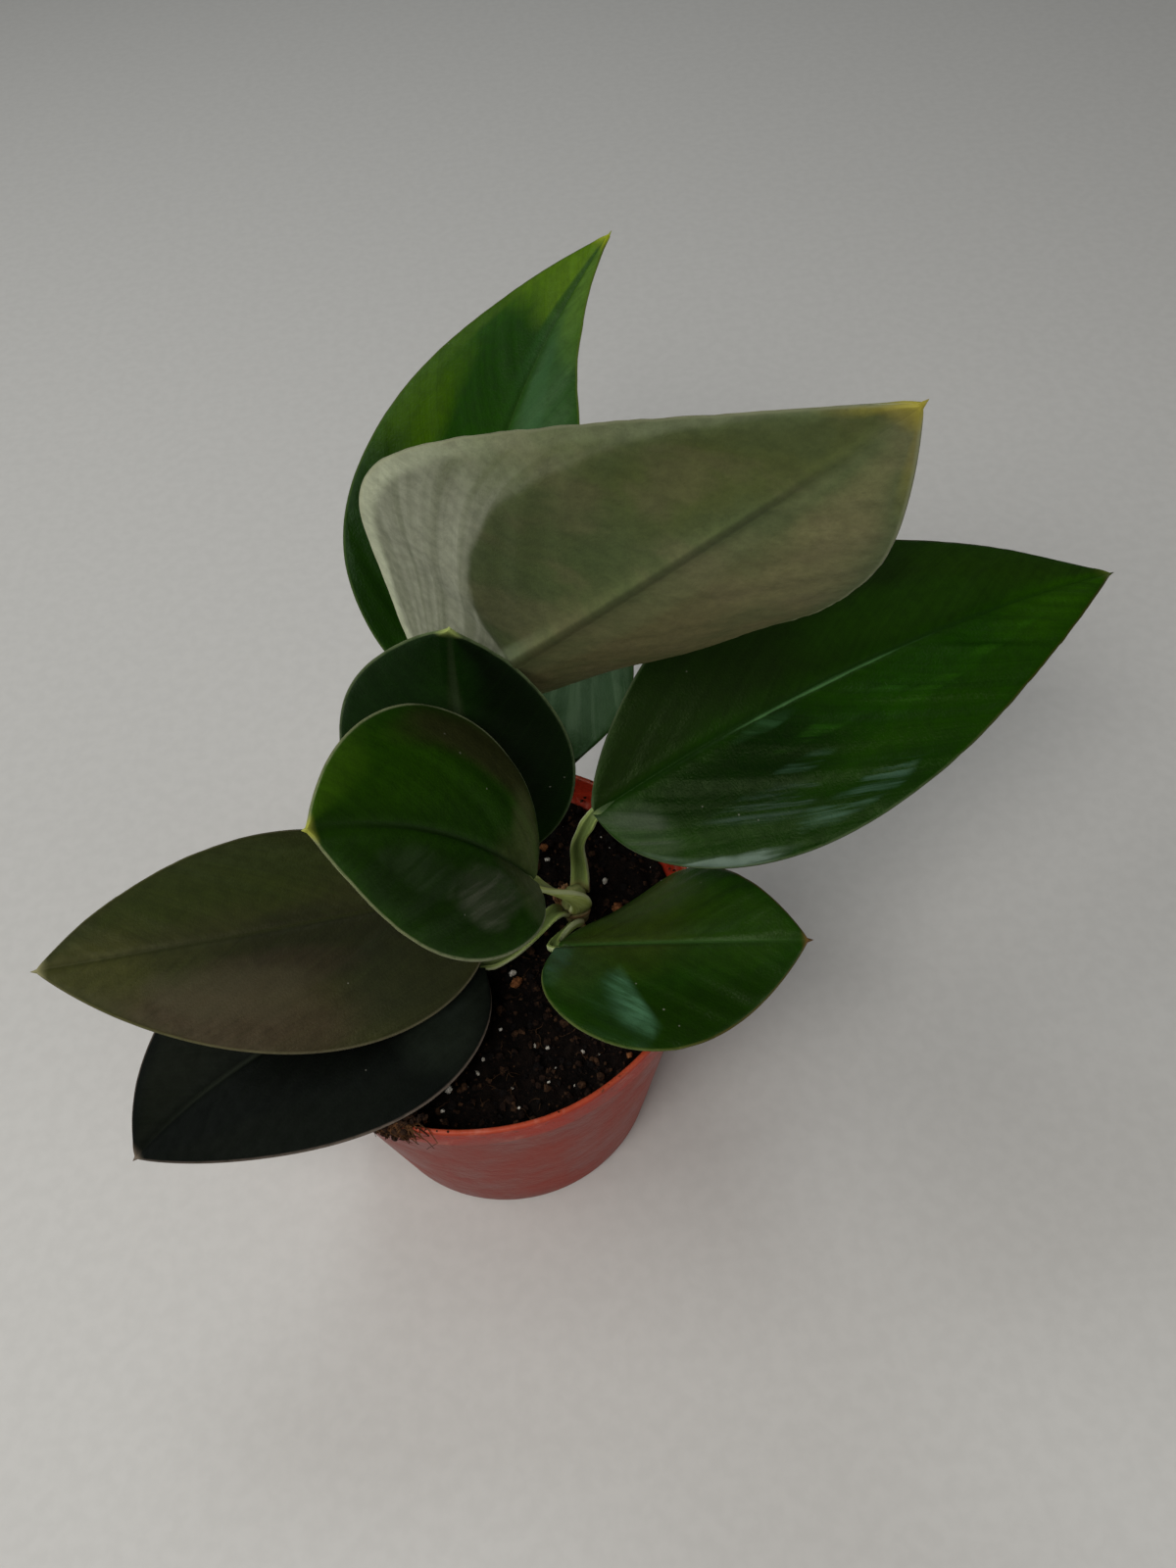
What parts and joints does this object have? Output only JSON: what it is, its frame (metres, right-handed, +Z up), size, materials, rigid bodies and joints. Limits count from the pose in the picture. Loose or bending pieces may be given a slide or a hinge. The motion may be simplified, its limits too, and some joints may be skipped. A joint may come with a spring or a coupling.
{
  "type": "potted aroid plant",
  "caption": "Young dark-form treubii scindapsus in a tapered round plastic nursery pot: broad pointed leaves on grooved stalks from rooted cuttings in peaty soil.",
  "frame": {"origin": "centre of the pot's underside, on the floor it stands on", "axes": "+Z up along the pot's axis; -Y is the side from which the picture looks down on the plant; +X to the right"},
  "size_m": [0.2055, 0.1663, 0.1924],
  "materials": {
    "pot": "satin",
    "soil": "matte",
    "stem": "satin",
    "petiole": "satin",
    "dry_sheath": "matte",
    "blade_green": "gloss",
    "blade_dark": "satin",
    "blade_olive": "satin",
    "blade_pale": "matte"
  },
  "bodies": {
    "root": {"pot": "pot", "soil": "soil", "stem_right": "stem", "stem_left": "stem", "old_sheath": "dry_sheath", "leaf_back": "blade_green", "petiole_back": "petiole", "leaf_tall": "blade_pale", "petiole_tall": "petiole", "leaf_upright": "blade_dark", "petiole_upright": "petiole", "leaf_right": "blade_green", "petiole_right": "petiole", "leaf_small": "blade_green", "petiole_small": "petiole", "leaf_centre": "blade_green", "petiole_centre": "petiole", "leaf_left": "blade_olive", "petiole_left": "petiole", "leaf_low": "blade_dark", "petiole_low": "petiole"}
  },
  "joints": []
}
